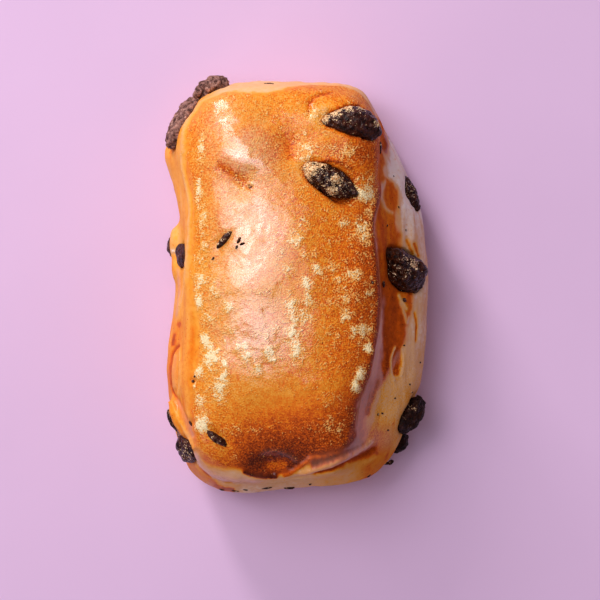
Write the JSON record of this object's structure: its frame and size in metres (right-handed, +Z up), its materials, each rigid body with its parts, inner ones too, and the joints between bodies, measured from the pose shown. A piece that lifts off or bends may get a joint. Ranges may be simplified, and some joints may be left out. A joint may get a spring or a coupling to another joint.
{
  "type": "chocolate yeast roll",
  "caption": "Oblong egg-washed yeast roll with a glossy browned crown, pale pulled sides and dark chocolate chunks baked into the crust.",
  "frame": {"origin": "middle of the bounding box on the flat base that the roll rests on", "axes": "+Y along the roll's length, +X across it, +Z up"},
  "size_m": [0.0744, 0.117, 0.0461],
  "materials": {
    "baked_crust": "egg-washed baked yeast dough, glossy golden brown on top and matt cream on the sides",
    "dark_chocolate": "baked dark chocolate, satin, with a dull bloom where it dried out"
  },
  "bodies": {
    "root": {"dough": "baked_crust", "chunk_back_left": "dark_chocolate", "chunk_back_left_end": "dark_chocolate", "chunk_back_right": "dark_chocolate", "chunk_top_middle": "dark_chocolate", "chunk_right_shoulder": "dark_chocolate", "chunk_right_low": "dark_chocolate", "chunk_front_right": "dark_chocolate", "chunk_front_right_low": "dark_chocolate", "chunk_front_left": "dark_chocolate", "chunk_front_left_low": "dark_chocolate", "chunk_left_waist": "dark_chocolate", "chunk_left_rim": "dark_chocolate"}
  },
  "joints": []
}
